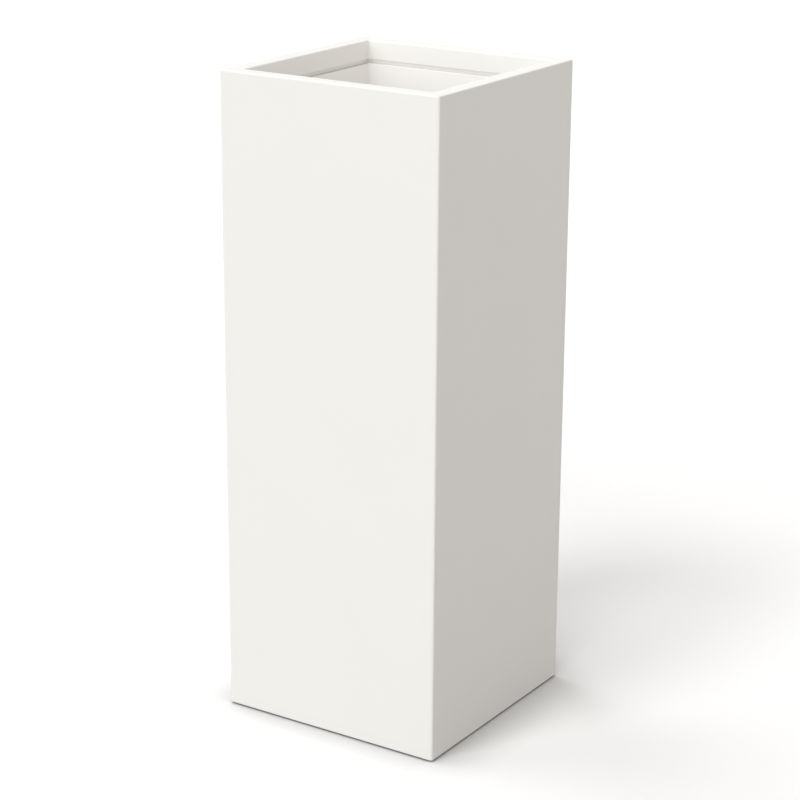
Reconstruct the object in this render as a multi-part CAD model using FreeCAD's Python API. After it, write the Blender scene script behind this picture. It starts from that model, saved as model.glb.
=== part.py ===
import FreeCAD, Part
import math
import os

from FreeCAD import Vector

# Tall square planter of glass-fibre laminate, in millimetres, +Z up.
# The origin is the middle of the footprint, on the floor.  -Y is the front.

# --- overall form -----------------------------------------------------------
width = 381.0            # outside width and depth of the square shell
height = 1016.0          # floor to the top of the rim
corner_r = 4.0           # upright outside corners
shell_wall = 4.5         # laminate of the four walls
inside_corner_r = 7.0    # upright inside corners, where the laminate is thicker
floor_gap = 2.5          # the shell's bottom edge stands this far off the floor
bottom_edge_r = 1.5      # rounding of the bottom edge

# --- folded rim and lip -----------------------------------------------------
rim_width = 26.0         # flat top of the rim, outside face to mouth
rim_thickness = 4.5      # laminate of the rim's flat top
rim_edge_r = 2.0         # rounding of the rim's outer and inner edges
mouth_r = 3.0            # corners of the mouth, in plan
lip_depth = 30.0         # top of the rim to the lip's lower edge
lip_thickness = 4.0      # laminate of the lip and of the guide below it
lip_edge_r = 1.0         # rounding of the lip's and guide's lower edges
lip_step = 3.0           # the guide stands this far back from the lip's face
guide_depth = 60.0       # top of the rim to the guide's lower edge
batten_height = 46.0     # stiffening batten bonded inside the folded rim
mitre_gap = 0.3          # resin line between two battens at a corner

# --- lift-out planting liner ------------------------------------------------
reveal = 6.5             # shadow line between the lip and the liner's top edge
liner_clearance = 0.6    # liner to mouth, all round
liner_height = 380.0     # overall height of the liner
liner_wall = 2.5         # side walls of the liner
liner_floor = 3.0        # floor of the liner
liner_taper = 6.0        # each side leans in by this much at the floor
liner_corner_r = 7.0     # upright outside corners of the liner
liner_bevel = 4.0        # sloped edge round the liner's floor
liner_edge_r = 0.8       # rounding of the liner's top edge
slot_width = 90.0        # hand slot in each side of the liner
slot_height = 26.0
slot_corner_r = 8.0
slot_below_guide = 7.0   # the slot starts this far below the shell's guide
liner_drain_r = 6.0      # drain holes in the liner's floor
liner_drain_spread = 90.0  # distance of the outer drain holes from the middle

# --- ledges that carry the liner --------------------------------------------
ledge_thickness = 5.0
ledge_bearing = 16.0     # width of ledge under the liner's flat floor
ledge_leg = 45.0         # upright leg that is bonded to the wall
ledge_end_gap = 12.0     # end of one ledge to the inner edge of the next
ledge_rib_height = 10.0  # upstand that keeps the liner in the middle
ledge_rib_thickness = 5.0
ledge_rib_clearance = 1.0  # liner to upstand
ledge_gussets = 3        # gussets under each ledge
seat_gap = 0.2           # a lifted piece to the seat that it stands on

# --- base -------------------------------------------------------------------
bond_gap = 0.2           # bonding paste between laminated pieces
base_recess = 4.0        # tray's underside above the shell's bottom edge
tray_floor = 4.0
tray_flange = 3.0        # upright flange of the tray, bonded to the walls
tray_depth = 35.0
board_thickness = 12.0
board_clearance = 0.5    # board to the tray's flange
skin_thickness = 2.0

# --- drain ------------------------------------------------------------------
drain_bore_r = 13.5
bush_wall = 3.5
bush_fit = 0.2           # bush to the holes that it passes through
bush_flange_width = 13.0
bush_flange_thickness = 3.0
bush_stand_off = 0.5     # bush's lower end above the shell's bottom edge
washer_thickness = 1.5
backnut_wall = 7.0
backnut_thickness = 3.2
backnut_chamfer = 1.5
plug_clearance = 0.3     # plug's stem to the bore
plug_head_overlap = 5.5  # plug's head beyond the bore
plug_head_thickness = 3.5
plug_taper = 1.5
plug_stand_off = 1.0     # plug's lower end above the bush's lower end
grip_length = 24.0
grip_thickness = 6.0
grip_height = 9.0
grip_corner_r = 4.0
grip_rib_r = 1.0         # ribs along both sides of the grip
grip_ribs = 2

# --- feet -------------------------------------------------------------------
foot_r = 22.0
foot_inset = 45.0        # shell's face to the middle of a foot
foot_edge_r = 1.2
screw_r = 2.4
screw_head_r = 4.8
screw_head_depth = 2.7
screw_recess = 1.5       # screw head above the foot's underside
screw_fit = 0.15         # screw to the hole in each piece
screw_end_gap = 1.5      # screw's tip to the skin above the board
screw_tip = 3.0
drive_slot_width = 1.1
drive_slot_length = 4.6
drive_slot_depth = 1.6

# --- places that follow from the sizes above --------------------------------
half = width / 2
wall_face = half - shell_wall
bond_face = wall_face - bond_gap
bond_corner_r = inside_corner_r - bond_gap
mouth_half = half - rim_width
guide_half = mouth_half + lip_step
guide_back = guide_half + lip_thickness
lip_bottom = height - lip_depth
guide_bottom = height - guide_depth

liner_top = lip_bottom - reveal
liner_bottom = liner_top - liner_height
liner_half = mouth_half - liner_clearance
liner_foot_half = liner_half - liner_taper
slot_top = guide_bottom - slot_below_guide

ledge_top = liner_bottom - seat_gap
ledge_inner = liner_foot_half - liner_bevel - ledge_bearing
ledge_length = 2 * (ledge_inner - ledge_end_gap)

tray_bottom = floor_gap + base_recess
board_bottom = tray_bottom + tray_floor
skin_bottom = board_bottom + board_thickness
skin_top = skin_bottom + skin_thickness
tray_inside = bond_face - tray_flange
tray_inside_r = max(bond_corner_r - tray_flange, 0.5)
board_half = tray_inside - board_clearance

bush_r = drain_bore_r + bush_wall
bush_hole_r = bush_r + bush_fit
bush_flange_r = bush_r + bush_flange_width
bush_seat = skin_top + washer_thickness
bush_top = bush_seat + bush_flange_thickness
bush_bottom = floor_gap + bush_stand_off

foot_centre = half - foot_inset
screw_hole_r = screw_r + screw_fit
sides = {"right": 0, "back": 90, "left": 180, "front": 270}
corners = {"front_left": (-1, -1), "front_right": (1, -1), "back_left": (-1, 1), "back_right": (1, 1)}


# --- shared shapes ----------------------------------------------------------
def rounded_square(reach, r, z):
    """Closed wire: a square of half-width reach with rounded corners, at height z."""
    edges = []
    flat = reach - r
    for turn in range(4):
        spin = FreeCAD.Rotation(Vector(0, 0, 1), 90 * turn)
        side_start = spin.multVec(Vector(reach, -flat, z))
        side_end = spin.multVec(Vector(reach, flat, z))
        bulge = flat + r * math.sqrt(0.5)
        arc_middle = spin.multVec(Vector(bulge, bulge, z))
        arc_end = spin.multVec(Vector(flat, reach, z))
        edges.append(Part.LineSegment(side_start, side_end).toShape())
        edges.append(Part.Arc(side_end, arc_middle, arc_end).toShape())
    return Part.Wire(edges)


def prism(reach, r, low, high):
    """Upright rounded-square prism from low to high."""
    return Part.Face(rounded_square(reach, r, low)).extrude(Vector(0, 0, high - low))


def ring(inner, inner_r, outer, outer_r, low, high):
    """Upright rounded-square tube."""
    return prism(outer, outer_r, low, high).cut(prism(inner, inner_r, low, high))


def block(x0, x1, y0, y1, z0, z1):
    return Part.makeBox(x1 - x0, y1 - y0, z1 - z0, Vector(x0, y0, z0))


def disc(r, low, high, x=0.0, y=0.0):
    return Part.makeCylinder(r, high - low, Vector(x, y, low))


def edges_at(shape, z, reach=None):
    """Edges that lie flat at height z, of those whose box is a square of half-width reach."""
    found = []
    for edge in shape.Edges:
        box = edge.BoundBox
        if abs(box.ZMin - z) > 1e-4 or abs(box.ZMax - z) > 1e-4:
            continue
        far = max(abs(box.XMin), abs(box.XMax), abs(box.YMin), abs(box.YMax))
        if reach is None or abs(far - reach) < 1e-3:
            found.append(edge)
    return found


def turned(shape, degrees):
    copy = shape.copy()
    copy.rotate(Vector(0, 0, 0), Vector(0, 0, 1), degrees)
    return copy


# --- outer shell ------------------------------------------------------------
def outer_shell():
    """Walls, folded rim, lip and guide, all one laminate, open underneath."""
    rim_round = min(rim_edge_r, 0.45 * rim_thickness, 0.6 * lip_thickness, 0.6 * corner_r)
    shell = prism(half, corner_r, floor_gap, height)
    shell = shell.makeFillet(rim_round, edges_at(shell, height))
    shell = shell.makeFillet(min(bottom_edge_r, 0.45 * shell_wall), edges_at(shell, floor_gap))
    shell = shell.cut(prism(wall_face, inside_corner_r, floor_gap - 1, height - rim_thickness))
    shell = shell.cut(prism(mouth_half, mouth_r, height - rim_thickness - 1, height + 1))

    # The lip hangs from the rim, steps back at its lower edge and runs on as the guide.
    back_r = mouth_r + lip_step + lip_thickness
    lip = ring(mouth_half, mouth_r, mouth_half + lip_thickness, mouth_r + lip_thickness,
               lip_bottom, height - rim_thickness)
    step = ring(mouth_half, mouth_r, guide_back, back_r, lip_bottom, lip_bottom + lip_thickness)
    guide = ring(guide_half, mouth_r + lip_step, guide_back, back_r, guide_bottom, lip_bottom)
    shell = shell.fuse([lip, step, guide]).removeSplitter()

    lip_round = min(lip_edge_r, 0.3 * lip_thickness, 0.3 * lip_step)
    shell = shell.makeFillet(rim_round, edges_at(shell, height, mouth_half))
    shell = shell.makeFillet(lip_round, edges_at(shell, lip_bottom, mouth_half))
    guide_edges = edges_at(shell, guide_bottom, guide_half) + edges_at(shell, guide_bottom, guide_back)
    return shell.makeFillet(lip_round, guide_edges)


def rim_batten():
    """One of four battens in the folded rim, mitred at both ends (the right-hand one)."""
    inner = guide_back + bond_gap
    top = height - rim_thickness - bond_gap
    end = mitre_gap * math.sqrt(0.5)
    outline = [
        Vector(inner, end - inner, top),
        Vector(bond_face, end - bond_face, top),
        Vector(bond_face, bond_face - end, top),
        Vector(inner, inner - end, top),
    ]
    outline.append(outline[0])
    batten = Part.Face(Part.makePolygon(outline)).extrude(Vector(0, 0, -batten_height))
    return batten.common(prism(bond_face, bond_corner_r, top - batten_height - 1, top + 1))


# --- planting liner ---------------------------------------------------------
def liner_body(inset, low, bevel):
    """Tapered box, set in by inset from the liner's outside, from low to the liner's top."""
    lean = liner_taper * (liner_top - low) / liner_height
    bevel_lean = liner_taper * (liner_top - low - bevel) / liner_height
    r = liner_corner_r - inset
    sections = [
        rounded_square(liner_half - lean - inset - bevel, r, low),
        rounded_square(liner_half - bevel_lean - inset, r, low + bevel),
        rounded_square(liner_half - inset, r, liner_top),
    ]
    return Part.makeLoft(sections, True, True)


def hand_slots():
    """Rounded bar along X that opens a hand slot in the left and the right side."""
    reach = 2 * half
    bar = block(-reach / 2, reach / 2, -slot_width / 2, slot_width / 2, slot_top - slot_height, slot_top)
    long_edges = [e for e in bar.Edges if abs(e.BoundBox.XLength - reach) < 1e-6]
    return bar.makeFillet(min(slot_corner_r, 0.45 * slot_height, 0.45 * slot_width), long_edges)


def planting_liner():
    """Open box that holds the soil, with a drained floor and two hand slots."""
    liner = liner_body(0.0, liner_bottom, liner_bevel)
    liner = liner.cut(liner_body(liner_wall, liner_bottom + liner_floor, liner_bevel))
    liner = liner.makeFillet(min(liner_edge_r, 0.35 * liner_wall), edges_at(liner, liner_top))
    liner = liner.cut(hand_slots())
    spread = liner_drain_spread
    for x, y in ((0, 0), (spread, spread), (-spread, spread), (-spread, -spread), (spread, -spread)):
        liner = liner.cut(disc(liner_drain_r, liner_bottom - 1, liner_bottom + liner_floor + 1, x, y))
    return liner


def liner_ledge():
    """Bonded angle with gussets and an upstand (the right-hand one)."""
    y1 = ledge_length / 2
    under = ledge_top - ledge_thickness
    leg_bottom = ledge_top - ledge_leg
    leg_inside = bond_face - ledge_thickness
    ledge = block(ledge_inner, bond_face, -y1, y1, under, ledge_top)
    ledge = ledge.fuse(block(leg_inside, bond_face, -y1, y1, leg_bottom, under))

    rib_x = liner_foot_half + ledge_rib_clearance
    rib = block(rib_x, rib_x + ledge_rib_thickness, -y1, y1, ledge_top, ledge_top + ledge_rib_height)
    ledge = ledge.fuse(rib)

    for number in range(ledge_gussets):
        y = -y1 + number * (2 * y1 - ledge_thickness) / (ledge_gussets - 1)
        gusset = Part.makePolygon([
            Vector(ledge_inner + ledge_thickness, y, under),
            Vector(leg_inside, y, under),
            Vector(leg_inside, y, leg_bottom + ledge_thickness),
            Vector(ledge_inner + ledge_thickness, y, under),
        ])
        ledge = ledge.fuse(Part.Face(gusset).extrude(Vector(0, ledge_thickness, 0)))
    return ledge.removeSplitter()


# --- base -------------------------------------------------------------------
def screw_holes(low, high):
    """Four upright holes for the foot screws."""
    holes = []
    for x, y in corners.values():
        holes.append(disc(screw_hole_r, low, high, x * foot_centre, y * foot_centre))
    return holes


def base_tray():
    """Shallow tray, flange upwards, bonded in just above the shell's bottom edge."""
    tray = prism(bond_face, bond_corner_r, tray_bottom, tray_bottom + tray_depth)
    tray = tray.cut(prism(tray_inside, tray_inside_r, board_bottom, tray_bottom + tray_depth + 1))
    holes = screw_holes(tray_bottom - 1, board_bottom + 1)
    holes.append(disc(bush_hole_r, tray_bottom - 1, board_bottom + 1))
    return tray.cut(holes)


def base_board():
    board = prism(board_half, tray_inside_r, board_bottom, skin_bottom)
    holes = screw_holes(board_bottom - 1, skin_bottom - screw_end_gap + screw_fit)
    holes.append(disc(bush_hole_r, board_bottom - 1, skin_bottom + 1))
    return board.cut(holes)


def base_skin():
    skin = prism(board_half, tray_inside_r, skin_bottom, skin_top)
    return skin.cut(disc(bush_hole_r, skin_bottom - 1, skin_top + 1))


# --- drain ------------------------------------------------------------------
def drain_bush():
    """Flanged tube through the base."""
    bush = disc(bush_r, bush_bottom, bush_top)
    bush = bush.fuse(disc(bush_flange_r, bush_seat, bush_top)).removeSplitter()
    bush = bush.makeFillet(0.4 * bush_flange_thickness, edges_at(bush, bush_top))
    return bush.cut(disc(drain_bore_r, bush_bottom - 1, bush_top + 1))


def drain_washer():
    washer = disc(bush_flange_r - 1, skin_top, bush_seat)
    return washer.cut(disc(bush_hole_r, skin_top - 1, bush_seat + 1))


def drain_backnut():
    """Flat six-sided nut under the tray."""
    low = tray_bottom - backnut_thickness
    reach = (bush_r + backnut_wall) / math.cos(math.radians(30))
    outline = []
    for number in range(7):
        angle = math.radians(60 * number)
        outline.append(Vector(reach * math.cos(angle), reach * math.sin(angle), low))
    nut = Part.Face(Part.makePolygon(outline)).extrude(Vector(0, 0, backnut_thickness))
    chamfer = Part.makeCone(reach - backnut_chamfer, reach + backnut_chamfer, backnut_thickness,
                            Vector(0, 0, low))
    return nut.common(chamfer).cut(disc(bush_hole_r, low - 1, tray_bottom + 1))


def drain_plug():
    """Rubber bung: tapered stem, flat head and a ribbed grip."""
    head_low = bush_top + seat_gap
    head_high = head_low + plug_head_thickness
    stem_low = bush_bottom + plug_stand_off
    stem_r = drain_bore_r - plug_clearance
    stem = Part.makeCone(stem_r - plug_taper, stem_r, head_low - stem_low, Vector(0, 0, stem_low))
    head = disc(drain_bore_r + plug_head_overlap, head_low, head_high)
    head = head.makeFillet(0.4 * plug_head_thickness, edges_at(head, head_high))

    long = grip_length / 2
    wide = grip_thickness / 2
    top = head_high + grip_height
    grip = block(-long, long, -wide, wide, head_high, top)
    top_corners = [e for e in grip.Edges if e.BoundBox.ZMin > top - 0.1 and e.BoundBox.XLength < 0.1]
    grip = grip.makeFillet(min(grip_corner_r, 0.45 * grip_height), top_corners)
    plug = stem.fuse([head, grip])
    for number in range(grip_ribs):
        z = head_high + (number + 1) * grip_height / (grip_ribs + 1)
        rib_length = grip_length - 2 * grip_corner_r
        for side in (-1, 1):
            start = Vector(-rib_length / 2, side * wide, z)
            plug = plug.fuse(Part.makeCylinder(grip_rib_r, rib_length, start, Vector(1, 0, 0)))
    return plug.removeSplitter()


# --- feet -------------------------------------------------------------------
def foot_pad(x, y):
    """Round rubber pad, from the floor up to the tray, with a countersunk hole."""
    pad = disc(foot_r, 0, tray_bottom, x, y)
    pad = pad.makeFillet(min(foot_edge_r, 0.4 * floor_gap), edges_at(pad, 0))
    head_top = screw_recess + screw_head_depth
    well_r = screw_head_r + screw_fit
    pad = pad.cut(disc(well_r, -1, screw_recess, x, y))
    pad = pad.cut(Part.makeCone(well_r, screw_hole_r, screw_head_depth, Vector(x, y, screw_recess)))
    return pad.cut(disc(screw_hole_r, head_top - 0.01, tray_bottom + 1, x, y))


def foot_screw(x, y):
    """Countersunk wood screw with a cross recess, driven up through the pad."""
    head_top = screw_recess + screw_head_depth
    tip = skin_bottom - screw_end_gap
    screw = Part.makeCone(screw_head_r, screw_r, screw_head_depth, Vector(x, y, screw_recess))
    screw = screw.fuse(disc(screw_r, head_top, tip - screw_tip, x, y))
    screw = screw.fuse(Part.makeCone(screw_r, 0.15 * screw_r, screw_tip, Vector(x, y, tip - screw_tip)))
    long = drive_slot_length / 2
    wide = drive_slot_width / 2
    drive_top = screw_recess + drive_slot_depth
    screw = screw.cut(block(x - long, x + long, y - wide, y + wide, screw_recess - 1, drive_top))
    return screw.cut(block(x - wide, x + wide, y - long, y + long, screw_recess - 1, drive_top))


def foot_screws():
    return Part.makeCompound([foot_screw(x * foot_centre, y * foot_centre) for x, y in corners.values()])


# --- all sub-parts ----------------------------------------------------------
nodes = {
    "outer_shell": outer_shell(),
    "planting_liner": planting_liner(),
    "base_tray": base_tray(),
    "base_board": base_board(),
    "base_skin": base_skin(),
    "drain_bush": drain_bush(),
    "drain_washer": drain_washer(),
    "drain_backnut": drain_backnut(),
    "drain_plug": drain_plug(),
    "foot_screws": foot_screws(),
}
for side, degrees in sides.items():
    nodes["rim_batten_" + side] = turned(rim_batten(), degrees)
    nodes["liner_ledge_" + side] = turned(liner_ledge(), degrees)
for corner, (x, y) in corners.items():
    nodes["foot_pad_" + corner] = foot_pad(x * foot_centre, y * foot_centre)

os.makedirs("parts", exist_ok=True)
for name, shape in nodes.items():
    shape.exportStep("parts/" + name + ".step")
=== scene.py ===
import math

import bmesh
import bpy
from mathutils import Matrix, Vector, noise


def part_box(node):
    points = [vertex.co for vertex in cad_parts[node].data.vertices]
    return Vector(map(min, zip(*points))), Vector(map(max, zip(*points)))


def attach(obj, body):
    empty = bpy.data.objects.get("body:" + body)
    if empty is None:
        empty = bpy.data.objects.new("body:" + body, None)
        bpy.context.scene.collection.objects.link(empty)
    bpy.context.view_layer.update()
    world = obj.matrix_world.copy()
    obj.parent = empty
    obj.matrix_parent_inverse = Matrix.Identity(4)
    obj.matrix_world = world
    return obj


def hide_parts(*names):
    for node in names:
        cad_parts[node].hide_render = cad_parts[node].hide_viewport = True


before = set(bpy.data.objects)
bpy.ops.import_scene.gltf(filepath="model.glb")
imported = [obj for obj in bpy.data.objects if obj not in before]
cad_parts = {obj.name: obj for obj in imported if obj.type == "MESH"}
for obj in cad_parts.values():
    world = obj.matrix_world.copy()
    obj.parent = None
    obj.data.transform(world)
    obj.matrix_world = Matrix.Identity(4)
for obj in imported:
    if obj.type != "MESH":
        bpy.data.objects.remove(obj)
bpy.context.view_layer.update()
scene = bpy.context.scene


# --- camera -----------------------------------------------------------------
# The photograph's view: from the front right and above the rim, through a long
# lens, with the uprights almost parallel. The picture is 800 by 800.
camera_data = bpy.data.cameras.new("photo_camera")
camera_data.sensor_width = 36.0
camera_data.lens = 104.3
camera = bpy.data.objects.new("photo_camera", camera_data)
camera_turn = Matrix.Rotation(math.radians(33.04), 4, "Z")
camera_tilt = Matrix.Rotation(math.radians(90 - 17.82), 4, "X")
camera_roll = Matrix.Rotation(math.radians(0.36), 4, "Z")
camera_place = Matrix.Translation((1.8754, -2.8752, 1.5952))
camera.matrix_world = camera_place @ camera_turn @ camera_tilt @ camera_roll
scene.collection.objects.link(camera)
scene.camera = camera


# --- outer shell ------------------------------------------------------------
# One moulding of chopped-strand glass fibre: four plain walls, a flat folded rim, a lip that
# turns down into the mouth and a stepped-back guide under it. White gelcoat is sprayed in
# the mould first, so the outside is satin and the inside of the walls is bare laminate.
shell_low, shell_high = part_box("outer_shell")
shell_wall = 0.0045
rim_width = 0.026
lip_depth = 0.030
guide_depth = 0.060
half = shell_high.x
top = shell_high.z
bottom = shell_low.z
wall_inside = half - shell_wall
rim_under = top - shell_wall
mouth = half - rim_width
lip_low = top - lip_depth
lip_foot = mouth + 0.0007       # flat under the lip, where the hollow of the groove begins
guide = mouth + 0.003
guide_back = mouth + 0.007
groove_low = lip_low - 0.0065   # level with the liner's top edge
guide_low = top - guide_depth

side_cells = 30                 # cells along each flat side of a ring
corner_cells = 6                # cells round each of its corners
ring_cells = 4 * (side_cells + corner_cells)
arc_cells = 4                   # cells round each corner of an outline
crisp = math.radians(42)        # edges that turn by more than this stay crisp


def square_ring(reach, corner, height):
    """Points round a square of half-width reach with rounded corners, at one height."""
    flat = reach - corner
    points = []
    for quarter in range(4):
        spin = Matrix.Rotation(math.pi / 2 * quarter, 3, "Z")
        for cell in range(side_cells):
            points.append(spin @ Vector((reach, flat * (2 * cell / side_cells - 1), height)))
        for cell in range(corner_cells):
            angle = math.pi / 2 * cell / corner_cells
            across = flat + corner * math.cos(angle)
            points.append(spin @ Vector((across, flat + corner * math.sin(angle), height)))
    return points


def stations(outline):
    """Stops along a closed outline of square corners, each corner rounded and each stretch divided.

    A corner is (reach, height, corner in plan, rounding, look of the next stretch, its cell size).
    """
    stops = []
    for number, (reach, height, plan, rounding, look, spacing) in enumerate(outline):
        here = Vector((reach, height))
        ahead = outline[(number + 1) % len(outline)]
        behind = outline[number - 1]
        forward = (Vector(ahead[:2]) - here).normalized()
        back = (Vector(behind[:2]) - here).normalized()
        centre = here + rounding * (forward + back)
        cells = arc_cells if rounding else 0
        for cell in range(cells + 1):
            angle = math.pi / 2 * cell / arc_cells
            stop = centre - rounding * (forward * math.cos(angle) + back * math.sin(angle))
            stops.append((stop.x, stop.y, plan + stop.x - reach, look))
        start = Vector(stops[-1][:3])
        end_at = Vector(ahead[:2]) - forward * ahead[3]
        end = Vector((end_at.x, end_at.y, ahead[2] + end_at.x - ahead[0]))
        cells = max(1, round((end - start).length / spacing))
        for cell in range(1, cells):
            stops.append((*start.lerp(end, cell / cells), look))
    return stops


def finished(name, mesh, looks, body, slot, *nodes):
    """Turns a bmesh into a smooth-shaded piece that rides on its body, in place of the nodes."""
    bmesh.ops.recalc_face_normals(mesh, faces=mesh.faces)
    data = bpy.data.meshes.new(name)
    mesh.to_mesh(data)
    mesh.free()
    for look in looks:
        data.materials.append(look)
    data.shade_smooth()
    data.set_sharp_from_angle(angle=crisp)
    piece = bpy.data.objects.new(name, data)
    scene.collection.objects.link(piece)
    weighted = piece.modifiers.new("flat faces stay flat", "WEIGHTED_NORMAL")
    weighted.keep_sharp = True
    if nodes:
        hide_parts(*nodes)
    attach(piece, body)
    return piece


def loft(rings, numbers=None):
    """Quads through rings of equal length, the last joined to the first.

    numbers give the look after each ring. Without them, all is the first look.
    """
    mesh = bmesh.new()
    rows = [[mesh.verts.new(point) for point in ring] for ring in rings]
    for row, after, number in zip(rows, rows[1:] + rows[:1], numbers or [0] * len(rows)):
        for place in range(len(row)):
            beyond = (place + 1) % len(row)
            face = mesh.faces.new((row[place], row[beyond], after[beyond], after[place]))
            face.material_index = number
    return mesh


class Value:
    """A number that varies over a surface: arithmetic on it adds Math nodes."""

    def __init__(self, finish, socket):
        self.finish = finish
        self.socket = socket

    def maths(self, operation, *numbers):
        """What a Math node makes of the numbers."""
        return self.finish.node("Math", {"operation": operation}, dict(enumerate(numbers)))

    def __add__(self, other):
        return self.maths("ADD", self, other)

    def __radd__(self, other):
        return self.maths("ADD", other, self)

    def __sub__(self, other):
        return self.maths("SUBTRACT", self, other)

    def __rsub__(self, other):
        return self.maths("SUBTRACT", other, self)

    def __mul__(self, other):
        return self.maths("MULTIPLY", self, other)

    def __rmul__(self, other):
        return self.maths("MULTIPLY", other, self)

    def __pow__(self, power):
        return self.maths("POWER", self, power)

    def __abs__(self):
        return self.maths("ABSOLUTE", self)

    def __gt__(self, other):
        return self.maths("GREATER_THAN", self, other)

    def at_least(self, other):
        return self.maths("MAXIMUM", self, other)


class Finish:
    """A material, or the room's, in the making: nodes are added, and its shader takes what they give."""

    def __init__(self, name, owner=None, shader="Principled BSDF"):
        self.owner = owner or bpy.data.materials.new(name)
        self.owner.use_nodes = True
        self.tree = self.owner.node_tree
        self.shader = self.tree.nodes[shader]

    def fill(self, sockets, name, value):
        """Sets or links one socket, named or numbered."""
        if isinstance(name, int):
            socket = sockets[name]
        else:
            socket = next(each for each in sockets if each.enabled and each.name == name)
        if isinstance(value, Value):
            self.tree.links.new(value.socket, socket)
        else:
            socket.default_value = value

    def node(self, kind, settings, values, result=None):
        """Adds a node: its settings come first, then its sockets."""
        node = self.tree.nodes.new("ShaderNode" + kind)
        for name, setting in settings.items():
            setattr(node, name, setting)
        for name, value in values.items():
            self.fill(node.inputs, name, value)
        found = next(each for each in node.outputs if each.enabled and result in (None, each.name))
        return Value(self, found)

    def place(self):
        """Where a point is on the object, in metres."""
        return self.node("TexCoord", {}, {}, "Object")

    def stretched(self, place, scale):
        """A place scaled along each axis: a small number draws a pattern out, a large one packs it."""
        return self.node("VectorMath", {"operation": "MULTIPLY"}, {0: place, 1: scale})

    def mottle(self, place, size, detail=2.0):
        """Soft blotches of about that size, from 0 to 1."""
        return self.node("TexNoise", {}, {"Vector": place, "Scale": 1 / size, "Detail": detail})

    def blend(self, share, first, second):
        """One colour, or where share is 1 the other."""
        values = {"Factor": share, "A": (*first, 1), "B": second}
        if not isinstance(second, Value):
            values["B"] = (*second, 1)
        return self.node("Mix", {"data_type": "RGBA"}, values)

    def relief(self, height):
        """Bump from a height in metres."""
        return self.node("Bump", {}, {"Strength": 1.0, "Distance": 1.0, "Height": height})

    def shade(self, **values):
        """Gives the shader its values, in words joined by underscores."""
        for name, value in values.items():
            self.fill(self.shader.inputs, name.replace("_", " "), value)
        return self.owner


def gelcoat(name, white):
    """Satin white gelcoat: hardly mottled, a little orange peel, faintly wavy from the mould."""
    finish = Finish(name)
    place = finish.place()
    tone = finish.mottle(place, 0.15, 3.0)
    peel = finish.mottle(place, 0.0028, 1.0)
    wave = finish.mottle(place, 0.08, 1.0)
    haze = finish.mottle(place, 0.035, 4.0)
    return finish.shade(
        Base_Color=finish.blend(tone, white, [0.981 * each for each in white]),
        Roughness=0.40 + 0.08 * haze,
        Specular_IOR_Level=0.3,
        Normal=finish.relief(6e-6 * peel + 9e-5 * wave),
    )


def laminate(name, resin, glass):
    """Bare chopped-strand laminate: strands that cross at all angles, wetted out with resin."""
    finish = Finish(name)
    place = finish.place()
    strands = 0.0
    for number in range(4):
        spun = finish.node(
            "VectorRotate",
            {"rotation_type": "AXIS_ANGLE"},
            {"Vector": place, "Axis": (1.0, 0.8, 0.6), "Angle": 0.4 + 0.83 * number},
        )
        bundle = finish.node(
            "TexNoise", {}, {"Vector": finish.stretched(spun, (30, 420, 420)), "Scale": 1.0, "Detail": 1.5}
        )
        strand = (1 - 9 * abs(bundle - 0.5)).at_least(0.0) ** 2
        strands = strand.at_least(strands)
    lumps = finish.mottle(place, 0.012, 2.0)
    return finish.shade(
        Base_Color=finish.blend(0.75 * strands + 0.25 * lumps, resin, glass),
        Roughness=0.3 + 0.28 * strands,
        Normal=finish.relief(1.2e-4 * strands + 5e-4 * lumps),
    )


shell_gelcoat = gelcoat("shell_gelcoat", (0.866, 0.856, 0.826))
laminate_look = laminate("bare_laminate", (0.42, 0.39, 0.27), (0.74, 0.72, 0.62))
GELCOAT = 0
LAMINATE = 1
coarse = 0.040
fine = 0.012
shell_outline = [
    (half, bottom, 0.004, 0.0015, GELCOAT, coarse),
    (half, top, 0.004, 0.002, GELCOAT, coarse),
    (mouth, top, 0.003, 0.002, GELCOAT, coarse),
    (mouth, lip_low, 0.003, 0.0006, GELCOAT, coarse),
    (lip_foot, lip_low, 0.0037, 0.0, GELCOAT, coarse),
    (guide, groove_low, 0.006, 0.0, GELCOAT, coarse),
    (guide, guide_low, 0.006, 0.001, GELCOAT, coarse),
    (guide_back, guide_low, 0.010, 0.001, LAMINATE, fine),
    (guide_back, rim_under, 0.010, 0.003, LAMINATE, fine),
    (wall_inside, rim_under, 0.007, 0.003, LAMINATE, fine),
    (wall_inside, bottom, 0.007, 0.001, GELCOAT, fine),
]


def uneven(points, reach, depth, size):
    """Pushes points outward by up to depth, as a laid-up laminate varies in thickness."""
    pushed = []
    for point in points:
        push = depth * (0.5 + 0.5 * noise.noise(point / size))
        stretch = 1 + push / reach
        pushed.append(Vector((point.x * stretch, point.y * stretch, point.z)))
    return pushed


shell_rings = []
shell_looks = []
for reach, height, plan, look in stations(shell_outline):
    ring = square_ring(reach, plan, height)
    if look == LAMINATE:
        ring = uneven(ring, reach, 0.0005, 0.02)
    shell_rings.append(ring)
    shell_looks.append(look)
finished("outer_shell_moulding", loft(shell_rings, shell_looks), [shell_gelcoat, laminate_look],
         "shell", "shell_gelcoat", "outer_shell")


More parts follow.
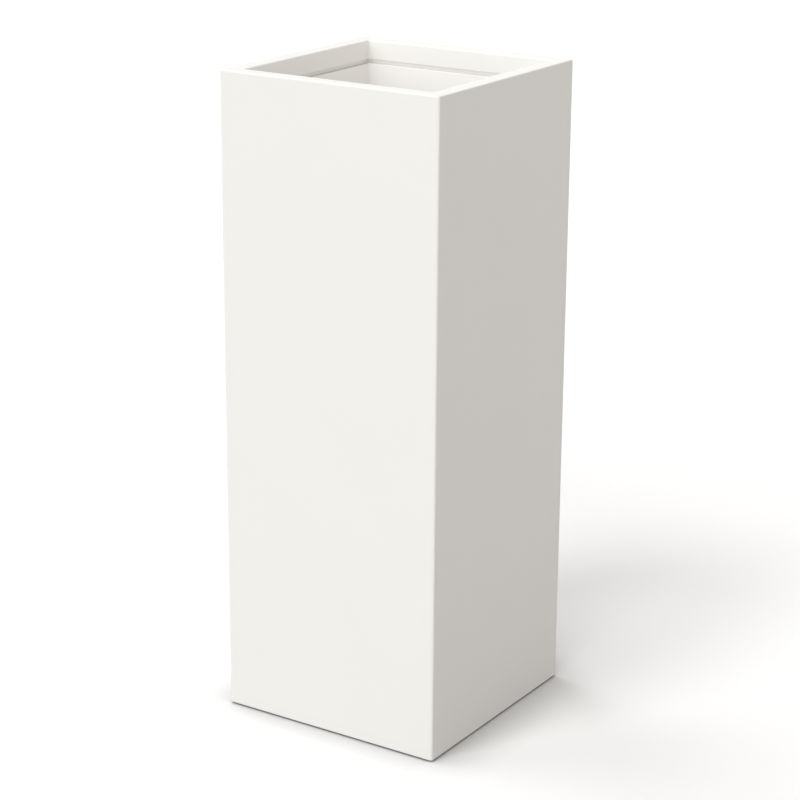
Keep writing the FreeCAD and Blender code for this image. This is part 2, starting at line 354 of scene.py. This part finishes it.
# --- rim battens ------------------------------------------------------------
# Four lengths of planed softwood, mitred at their ends and bonded inside the folded rim to
# stiffen it. Sealed with a thin coat of resin.
def softwood(name, along):
    """Planed softwood with its growth rings running along X (0) or Y (1)."""
    finish = Finish(name)
    place = finish.place()
    slow = [1.0, 1.0, 1.0]
    slow[along] = 0.06
    grain = finish.stretched(place, slow)
    wander = finish.mottle(grain, 0.05, 2.0)
    rings = finish.node(
        "TexWave",
        {"wave_type": "BANDS", "bands_direction": "Z"},
        {"Vector": grain, "Scale": 55.0, "Distortion": 6.0, "Detail": 2.0, "Detail Scale": 0.6},
    )
    fibres = finish.mottle(finish.stretched(place, [25 * each for each in slow]), 0.02, 3.0)
    late = 0.55 * rings ** 3 + 0.3 * wander
    return finish.shade(
        Base_Color=finish.blend(late, (0.62, 0.42, 0.21), (0.36, 0.19, 0.07)),
        Roughness=0.42 + 0.2 * fibres,
        Normal=finish.relief(4e-5 * rings + 5e-5 * fibres),
    )


def softened(name, node, edge, looks, body, slot, look_of=None):
    """A copy of a modelled piece with its arrises taken off by edge."""
    mesh = bmesh.new()
    mesh.from_mesh(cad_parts[node].data)
    bmesh.ops.remove_doubles(mesh, verts=mesh.verts, dist=1e-6)
    bmesh.ops.dissolve_limit(mesh, angle_limit=math.radians(0.5), verts=mesh.verts, edges=mesh.edges)
    mesh.normal_update()
    for face in mesh.faces:
        face.material_index = look_of(face) if look_of else 0
    piece = finished(name, mesh, looks, body, slot, node)
    if edge:
        arris = piece.modifiers.new("arris", "BEVEL")
        arris.width = edge
        arris.segments = 2
        arris.limit_method = "ANGLE"
        arris.angle_limit = crisp
        piece.modifiers.move(1, 0)
    return piece


softwood_looks = [softwood("softwood_along_x", 0), softwood("softwood_along_y", 1)]
for side, along in (("front", 0), ("right", 1), ("back", 0), ("left", 1)):
    looks = [softwood_looks[along]]
    softened("batten_" + side, "rim_batten_" + side, 0.0008, looks, "shell", "softwood")


# --- base tray, board and skin ----------------------------------------------
# A shallow laminate tray is bonded into the foot of the shell, a plywood board lies in it as a
# stiffener, and a second skin of laminate seals the board. Beads of bonding paste run round
# the tray, above it and below.
tray_low, tray_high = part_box("base_tray")
board_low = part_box("base_board")[0]
skin_low, skin_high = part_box("base_skin")
tray_wall = 0.003
tray_out = tray_high.x
tray_in = tray_out - tray_wall
tray_corner_out = 0.0068    # in plan
tray_corner_in = 0.0038
bore = 0.0172               # hole for the drain bush, through all three
screw_hole = 0.00255
foot_at = half - 0.045      # middle of each foot, from the middle of the base


def circle_ring(radius, height, centre=(0.0, 0.0), cells=ring_cells):
    """Points round a circle, that start where a square ring of as many points starts."""
    points = []
    for cell in range(cells):
        angle = 2 * math.pi * cell / cells - math.pi / 4
        x = centre[0] + radius * math.cos(angle)
        y = centre[1] + radius * math.sin(angle)
        points.append(Vector((x, y, height)))
    return points


def between(first, last, cells):
    """Rings that turn one ring into another, both ends left out."""
    found = []
    for cell in range(1, cells):
        found.append([a.lerp(b, cell / cells) for a, b in zip(first, last)])
    return found


def wavy(rings, depth, size):
    """Lifts or drops each point by up to depth, in broad soft waves."""
    return [[p + Vector((0, 0, depth * noise.noise(p / size))) for p in ring] for ring in rings]


def pierced(piece, places, radius, low, high):
    """Bores upright holes right through a piece."""
    drill_mesh = bmesh.new()
    for x, y in places:
        bmesh.ops.create_cone(
            drill_mesh, cap_ends=True, segments=24, radius1=radius, radius2=radius, depth=high - low,
            matrix=Matrix.Translation((x, y, (low + high) / 2)),
        )
    drill_data = bpy.data.meshes.new("drill")
    drill_mesh.to_mesh(drill_data)
    drill_mesh.free()
    drill = bpy.data.objects.new("drill", drill_data)
    scene.collection.objects.link(drill)
    hole = piece.modifiers.new("holes", "BOOLEAN")
    hole.operation = "DIFFERENCE"
    hole.object = drill
    hole.solver = "EXACT"
    piece.modifiers.move(len(piece.modifiers) - 1, 0)
    with bpy.context.temp_override(object=piece, active_object=piece):
        bpy.ops.object.modifier_apply(modifier="holes")
    bpy.data.objects.remove(drill)


foot_places = [(x * foot_at, y * foot_at) for x in (-1, 1) for y in (-1, 1)]
tray_cell = 0.008
tray_rings = []
for reach, height, plan, _ in stations([
    (tray_out, tray_low.z, tray_corner_out, 0.001, 0, tray_cell),
    (tray_out, tray_high.z, tray_corner_out, 0.001, 0, tray_cell),
    (tray_in, tray_high.z, tray_corner_in, 0.001, 0, tray_cell),
    (tray_in, board_low.z, tray_corner_in, 0.002, 0, 1.0),
]):
    tray_rings.append(square_ring(reach, plan, height))
bore_top = circle_ring(bore, board_low.z)
bore_bottom = circle_ring(bore, tray_low.z)
tray_rings += between(tray_rings[-1], bore_top, 26)
tray_rings += [bore_top, bore_bottom]
under_rings = between(bore_bottom, tray_rings[0], 26)
tray_rings += wavy(under_rings, 0.0003, 0.03)
tray = finished("base_tray_laminate", loft(tray_rings), [laminate_look],
                "shell", "raw_laminate", "base_tray")
pierced(tray, foot_places, screw_hole, 0, board_low.z + 0.002)

skin_out = skin_high.x
skin_edge = 0.0004          # taken off the skin's upper arris
skin_foot = square_ring(skin_out, tray_corner_in, skin_low.z)
skin_side = square_ring(skin_out, tray_corner_in, skin_high.z - skin_edge)
skin_shoulder = square_ring(skin_out - skin_edge, tray_corner_in - skin_edge, skin_high.z)
skin_bore = [circle_ring(bore, skin_high.z), circle_ring(bore, skin_low.z)]
skin_rings = [skin_foot, skin_side]
skin_rings += wavy(between(skin_shoulder, skin_bore[0], 40), 0.0004, 0.035)
skin_rings += skin_bore
skin_rings += between(skin_bore[1], skin_foot, 12)
finished("base_skin_laminate", loft(skin_rings), [laminate_look],
         "shell", "raw_laminate", "base_skin")


def plywood(name):
    """Birch-faced plywood: long figure on the faces, thin plies of turning grain on the edges."""
    finish = Finish(name)
    place = finish.place()
    figure = finish.mottle(finish.stretched(place, (0.08, 1.0, 1.0)), 0.02, 4.0)
    pores = finish.mottle(finish.stretched(place, (0.04, 1.0, 1.0)), 0.0015, 2.0)
    plies = finish.node(
        "TexWave", {"wave_type": "BANDS", "bands_direction": "Z"}, {"Vector": place, "Scale": 105.0}
    )
    upright = finish.node("SeparateXYZ", {}, {0: finish.node("NewGeometry", {}, {}, "Normal")}, "Z")
    edge = abs(upright) > 0.5
    shade = edge * (0.6 * figure + 0.25 * pores) + (1 - edge) * (0.8 * plies)
    return finish.shade(
        Base_Color=finish.blend(shade, (0.63, 0.47, 0.29), (0.36, 0.22, 0.11)),
        Roughness=0.45 + 0.2 * pores,
        Normal=finish.relief(3e-5 * pores),
    )


softened("base_board_plywood", "base_board", 0.0005, [plywood("birch_plywood")], "shell", "plywood")


def paste(name):
    """Bonding paste: laminating resin thickened with powder, smoothed with a finger."""
    finish = Finish(name)
    place = finish.place()
    drag = finish.mottle(place, 0.006, 3.0)
    specks = finish.mottle(place, 0.0012, 1.0)
    return finish.shade(
        Base_Color=finish.blend(drag, (0.66, 0.63, 0.52), (0.56, 0.53, 0.42)),
        Roughness=0.42 + 0.15 * specks,
        Normal=finish.relief(2.5e-4 * drag + 4e-5 * specks),
    )


paste_look = paste("bonding_paste")


wall_corner = 0.007         # inner corner between two walls, in plan
paste_keyed = 0.0003        # how far the paste goes into the wall


def corner_bead(name, height, rise):
    """A ring of paste smoothed into the corner between the walls and the tray at that height.

    rise is how far it climbs the wall. Where it's below 0, the paste hangs under the tray.
    """
    width = abs(rise)
    hollow_cells = 5
    rings = []
    for cell in range(hollow_cells + 1):
        angle = math.pi / 2 * cell / hollow_cells
        inset = width * (1 - math.sin(angle))
        lift = rise * (1 - math.cos(angle))
        ring = []
        for point in square_ring(wall_inside - inset, wall_corner - inset, height + lift):
            swell = 0.8 + 0.25 * noise.noise(point / 0.025)
            ring.append(Vector((point.x, point.y, height + lift * swell)))
        rings.append(ring)
    rings.append(square_ring(wall_inside + paste_keyed, wall_corner, height + rise * 0.5))
    rings.append(square_ring(wall_inside + paste_keyed, wall_corner, height - rise * 0.04))
    finished(name, loft(rings), [paste_look], "shell", "raw_laminate")


corner_bead("paste_over_tray", tray_high.z, 0.0035)
corner_bead("paste_under_tray", tray_low.z, -0.0025)


# --- drain ------------------------------------------------------------------
# A flanged bush of black plastic goes through the base, over a rubber washer, and a flat
# six-sided nut under the tray holds it. A rubber bung with a ribbed grip closes it.
def black_plastic(name):
    """Black polypropylene from a lightly textured mould."""
    finish = Finish(name)
    place = finish.place()
    texture = finish.mottle(place, 0.0006, 2.0)
    haze = finish.mottle(place, 0.02, 3.0)
    return finish.shade(
        Base_Color=finish.blend(haze, (0.018, 0.018, 0.019), (0.030, 0.030, 0.031)),
        Roughness=0.38 + 0.12 * haze,
        Normal=finish.relief(2.5e-5 * texture),
    )


def black_rubber(name):
    """Moulded black rubber, matt, with a trace of grey bloom."""
    finish = Finish(name)
    place = finish.place()
    bloom = finish.mottle(place, 0.012, 4.0)
    grain = finish.mottle(place, 0.0009, 2.0)
    return finish.shade(
        Base_Color=finish.blend(bloom, (0.016, 0.016, 0.016), (0.040, 0.039, 0.038)),
        Roughness=0.62 + 0.2 * bloom,
        Normal=finish.relief(3e-5 * grain),
    )


plastic_look = black_plastic("drain_plastic")
rubber_look = black_rubber("black_rubber")
softened("drain_bush_moulding", "drain_bush", 0.0004, [plastic_look], "shell", "drain_plastic")
softened("drain_washer_ring", "drain_washer", 0.0003, [rubber_look], "shell", "rubber")
softened("drain_backnut_moulding", "drain_backnut", 0.0004, [plastic_look], "shell", "drain_plastic")
softened("drain_plug_moulding", "drain_plug", 0.0004, [rubber_look], "plug", "rubber")


# --- feet and their screws --------------------------------------------------
# Four round rubber pads keep the shell's edge a little off the floor. Each is held by one
# countersunk stainless screw, driven up through the tray into the board.
foot_low, foot_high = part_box("foot_pad_front_right")
foot_outer = (foot_high.x - foot_low.x) / 2
foot_edge = 0.001       # rounding of the sole's outer edge
foot_arris = 0.0003     # taken off the upper edge
foot_groove = 0.0006    # depth and half the width of a groove
foot_well = 0.00495     # radius of the well for the screw's head
sink_low = 0.0015       # where the countersink begins
sink_high = 0.0042      # and where it ends
foot_cells = 72


def foot_outline():
    """Closed outline of the pad as (radius, height), with three grooves in its sole."""
    outline = [(foot_well, 0.0)]
    for middle in (0.009, 0.0125, 0.016):
        outline += [(middle - foot_groove, 0.0), (middle - 0.6 * foot_groove, foot_groove)]
        outline += [(middle + 0.6 * foot_groove, foot_groove), (middle + foot_groove, 0.0)]
    for cell in range(arc_cells + 1):
        angle = math.pi / 2 * cell / arc_cells
        radius = foot_outer - foot_edge * (1 - math.sin(angle))
        outline.append((radius, foot_edge * (1 - math.cos(angle))))
    outline += [(foot_outer, foot_high.z - foot_arris), (foot_outer - foot_arris, foot_high.z)]
    outline += [(screw_hole, foot_high.z), (screw_hole, sink_high), (foot_well, sink_low)]
    return outline


for corner_name, x, y in (
    ("front_left", -1, -1), ("front_right", 1, -1), ("back_left", -1, 1), ("back_right", 1, 1),
):
    middle = (x * foot_at, y * foot_at)
    foot_rings = [circle_ring(*stop, middle, foot_cells) for stop in foot_outline()]
    finished("foot_" + corner_name, loft(foot_rings), [rubber_look],
             "shell", "rubber", "foot_pad_" + corner_name)


def stainless(name):
    """Stainless steel off the lathe: fine marks, a little duller in patches."""
    finish = Finish(name)
    place = finish.place()
    marks = finish.mottle(finish.stretched(place, (1.0, 1.0, 12.0)), 0.0009, 2.0)
    dull = finish.mottle(place, 0.004, 3.0)
    return finish.shade(
        Base_Color=finish.blend(dull, (0.60, 0.59, 0.57), (0.50, 0.49, 0.47)),
        Metallic=1.0,
        Roughness=0.22 + 0.2 * dull,
        Normal=finish.relief(4e-6 * marks),
    )


steel_look = stainless("stainless_steel")
softened("foot_screws_stainless", "foot_screws", 0.00012, [steel_look], "shell", "screw_steel")


# --- liner ledges -----------------------------------------------------------
# Four laminate angles with gussets are bonded to the walls. Their upstands keep the planting
# liner in the middle, and its floor stands on them.
ledge_voxel = 0.0022        # grain of the softened shape
ledge_wear = 0.0003         # how far its surface sinks at most


def laid_up(name, node):
    """A laminate piece from its modelled solid, with soft uneven arrises and surfaces."""
    mesh = bmesh.new()
    mesh.from_mesh(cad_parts[node].data)
    bmesh.ops.remove_doubles(mesh, verts=mesh.verts, dist=1e-6)
    piece = finished(name, mesh, [laminate_look], "shell", "raw_laminate", node)
    piece.modifiers.clear()
    remesh = piece.modifiers.new("cloth of voxels", "REMESH")
    remesh.mode = "VOXEL"
    remesh.voxel_size = ledge_voxel
    remesh.use_smooth_shade = True
    soften = piece.modifiers.new("soft arrises", "SMOOTH")
    soften.iterations = 2
    with bpy.context.temp_override(object=piece, active_object=piece):
        bpy.ops.object.modifier_apply(modifier=remesh.name)
        bpy.ops.object.modifier_apply(modifier=soften.name)
    outward = [vertex.normal.copy() for vertex in piece.data.vertices]
    for vertex, normal in zip(piece.data.vertices, outward):
        vertex.co -= normal * ledge_wear * (0.5 + 0.5 * noise.noise(vertex.co / 0.012))


for side in ("front", "right", "back", "left"):
    laid_up("ledge_" + side, "liner_ledge_" + side)


# --- planting liner ---------------------------------------------------------
# A lift-out box of the same laminate, gelcoated inside, that stands on the ledges and holds
# the soil. It has drain holes in its floor and a hand slot in two sides.
liner_low, liner_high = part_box("planting_liner")


def liner_look(face):
    """Laminate on the outside and underneath, gelcoat inside and on the top edge."""
    middle = face.calc_center_median()
    outward = face.normal.x * middle.x + face.normal.y * middle.y
    outside = outward > 0.6 * liner_high.x and face.normal.z < 0.2
    under = face.normal.z < -0.2 and middle.z < liner_low.z + 0.002
    return LAMINATE if outside or under else GELCOAT


liner_gelcoat = gelcoat("liner_gelcoat", (0.912, 0.902, 0.876))     # whiter than the shell's same gelcoat: painted light that lifts the liner's shaded inside
softened("planting_liner_moulding", "planting_liner", 0.0, [liner_gelcoat, laminate_look],
         "liner", "liner_gelcoat", liner_look)


# --- studio -----------------------------------------------------------------
# A seamless floor of white paper in an evenly lit white room. A small lamp stands high at the front
# left, and broad soft ones low in front, to the left, low and warm to the right, and behind.
floor_reach = 14.0
floor_mesh = bmesh.new()
bmesh.ops.create_grid(floor_mesh, x_segments=1, y_segments=1, size=floor_reach)
floor_data = bpy.data.meshes.new("studio_floor")
floor_mesh.to_mesh(floor_data)
floor_mesh.free()
floor = bpy.data.objects.new("studio_floor", floor_data)
scene.collection.objects.link(floor)


def shown(finish):
    """1 for a ray that shows a surface: from the camera, or mirrored or let through."""
    kinds = [finish.node("LightPath", {}, {}, "Is " + kind) for kind in ("Camera Ray", "Glossy Ray")]
    return kinds[0].at_least(kinds[1]).at_least(finish.node("LightPath", {}, {}, "Is Transmission Ray"))


floor_finish = Finish("floor_paper")
floor_grain = floor_finish.mottle(floor_finish.place(), 0.004, 2.0)
white_paper = floor_finish.blend(floor_grain, (1.000, 1.000, 1.000), (0.990, 0.990, 0.990))
# Painted shade: the paper's colour is darkened where ambient occlusion finds it shut in beside and under
# the foot, a painted contact shadow added to the shadow the lamps cast.
openness = floor_finish.node("AmbientOcclusion", {"samples": 8}, {"Distance": 0.09}, "AO")
paper = floor_finish.blend(openness, (0.35, 0.35, 0.35), white_paper)   # painted contact shade: darker close to the foot
thrown_back = (0.26, 0.26, 0.26)    # the little light that the paper gives back to the object
floor_data.materials.append(floor_finish.shade(
    Base_Color=floor_finish.blend(shown(floor_finish), thrown_back, paper),
    Roughness=0.9,
    Specular_IOR_Level=0.0,
))


def soft_lamp(name, bearing, height, strength, spread, colour=(1.0, 1.0, 1.0)):
    """A lamp far off. bearing is from +X towards +Y, and height is above the floor.

    spread is how wide it looks from the object. All three are in degrees.
    """
    lamp_data = bpy.data.lights.new(name, "SUN")
    lamp_data.energy = strength
    lamp_data.angle = math.radians(spread)
    lamp_data.color = colour
    lamp = bpy.data.objects.new(name, lamp_data)
    lamp.rotation_euler = (math.radians(90 - height), 0, math.radians(bearing + 90))
    scene.collection.objects.link(lamp)


soft_lamp("key_lamp", 252, 56, 0.50, 15)
soft_lamp("front_lamp", 270, 25, 2.03, 60)
soft_lamp("left_lamp", 180, 45, 1.18, 60)
soft_lamp("right_lamp", 0, 12, 0.97, 60, (1.0, 0.95, 0.89))
soft_lamp("back_lamp", 90, 30, 0.30, 60)

room_finish = Finish("white_room", bpy.data.worlds.new("white_room"), "Background")
room_light = (0.300, 0.297, 0.292)
scene.world = room_finish.shade(
    Color=room_finish.blend(shown(room_finish), room_light, (1.0, 1.0, 1.0)),
)

scene.view_settings.view_transform = "Standard"
